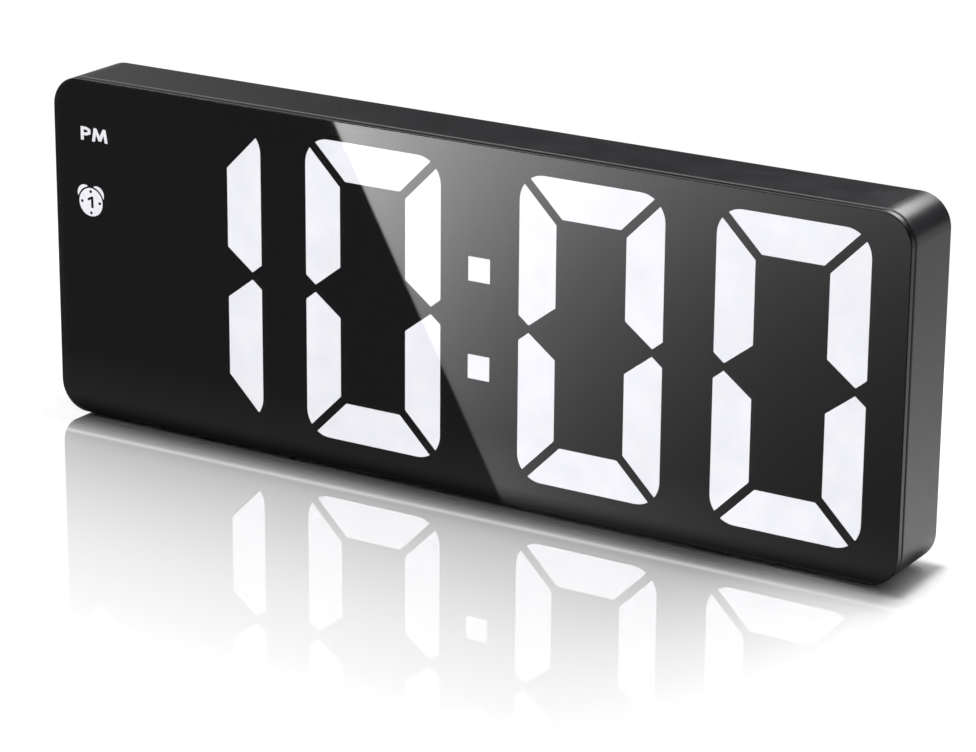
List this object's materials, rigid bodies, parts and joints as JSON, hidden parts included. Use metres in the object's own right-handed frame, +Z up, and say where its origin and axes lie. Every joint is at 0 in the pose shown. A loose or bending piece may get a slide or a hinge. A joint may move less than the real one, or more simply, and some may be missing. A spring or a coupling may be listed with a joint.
{
  "type": "digital alarm clock",
  "caption": "Slim free-standing digital alarm clock: smoked face plate over large lit digits, rounded dark case, rear buttons, slide switch, coin-cell door and power socket.",
  "frame": {"origin": "middle of the footprint, on the surface the clock stands on", "axes": "+X to the reader's right along the face, +Y from the face to the back, +Z up"},
  "size_m": [0.163, 0.014, 0.0609],
  "materials": {
    "smoked_acrylic": "polished smoked plate",
    "black_tape": "foam adhesive",
    "satin_black_plastic": "satin moulded",
    "cap_plastic": "fine satin",
    "lit_window": "milky diffuser, lit",
    "unlit_window": "smoked diffuser, dark",
    "black_film": "printed black",
    "white_plastic": "moulded white",
    "circuit_board": "green solder mask",
    "led_chip": "phosphor",
    "chip_plastic": "moulded epoxy",
    "tinned_metal": "tinned",
    "screw_steel": "blackened",
    "cell_steel": "nickel",
    "foot_rubber": "matt"
  },
  "bodies": {
    "case": {"front_panel": "smoked_acrylic", "panel_tape": "black_tape", "housing": "satin_black_plastic", "rear_cover": "satin_black_plastic", "cover_screws": "screw_steel", "board_screws": "screw_steel", "feet": "foot_rubber", "hour_tens_segments": "lit_window", "hour_units_segments": "lit_window", "minute_tens_segments": "lit_window", "minute_units_segments": "lit_window", "unlit_segments": "unlit_window", "colon_windows": "lit_window", "pm_sign": "lit_window", "alarm_sign": "lit_window", "mask_film": "black_film", "light_box": "white_plastic", "segment_leds": "led_chip", "main_board": "circuit_board", "clock_chip": "chip_plastic", "driver_chip": "chip_plastic", "chip_leads": "tinned_metal", "watch_crystal": "tinned_metal", "reservoir_capacitor": "tinned_metal", "chip_parts": "chip_plastic", "buzzer": "chip_plastic", "socket_shell": "tinned_metal", "socket_tongue": "chip_plastic", "cell_holder": "cap_plastic", "cell_side_contact": "tinned_metal", "cell_spring": "tinned_metal", "coin_cell": "cell_steel", "key_switches": "chip_plastic", "mode_switch_body": "tinned_metal"},
    "set_button": {"set_cap": "cap_plastic", "set_plunger": "white_plastic"},
    "alarm_button": {"alarm_cap": "cap_plastic", "alarm_plunger": "white_plastic"},
    "up_button": {"up_cap": "cap_plastic", "up_plunger": "white_plastic"},
    "down_button": {"down_cap": "cap_plastic", "down_plunger": "white_plastic"},
    "mode_switch": {"mode_slider": "cap_plastic"},
    "battery_door": {"cell_door": "satin_black_plastic"}
  },
  "joints": [
    {"name": "set_press", "type": "slide", "parent": "case", "child": "set_button", "axis": [0, -1, 0], "range_m": [0, 0.0005], "stiffness_N_per_m": 2000},
    {"name": "alarm_press", "type": "slide", "parent": "case", "child": "alarm_button", "axis": [0, -1, 0], "range_m": [0, 0.0005], "stiffness_N_per_m": 2000},
    {"name": "up_press", "type": "slide", "parent": "case", "child": "up_button", "axis": [0, -1, 0], "range_m": [0, 0.0005], "stiffness_N_per_m": 2000},
    {"name": "down_press", "type": "slide", "parent": "case", "child": "down_button", "axis": [0, -1, 0], "range_m": [0, 0.0005], "stiffness_N_per_m": 2000},
    {"name": "mode_slide", "type": "slide", "parent": "case", "child": "mode_switch", "axis": [1, 0, 0], "range_m": [0, 0.002]},
    {"name": "door_turn", "type": "hinge", "parent": "case", "child": "battery_door", "pos_m": [-0.04199, 0.007, 0.03074], "axis": [0, 1, 0], "range_deg": [0, 50]}
  ]
}
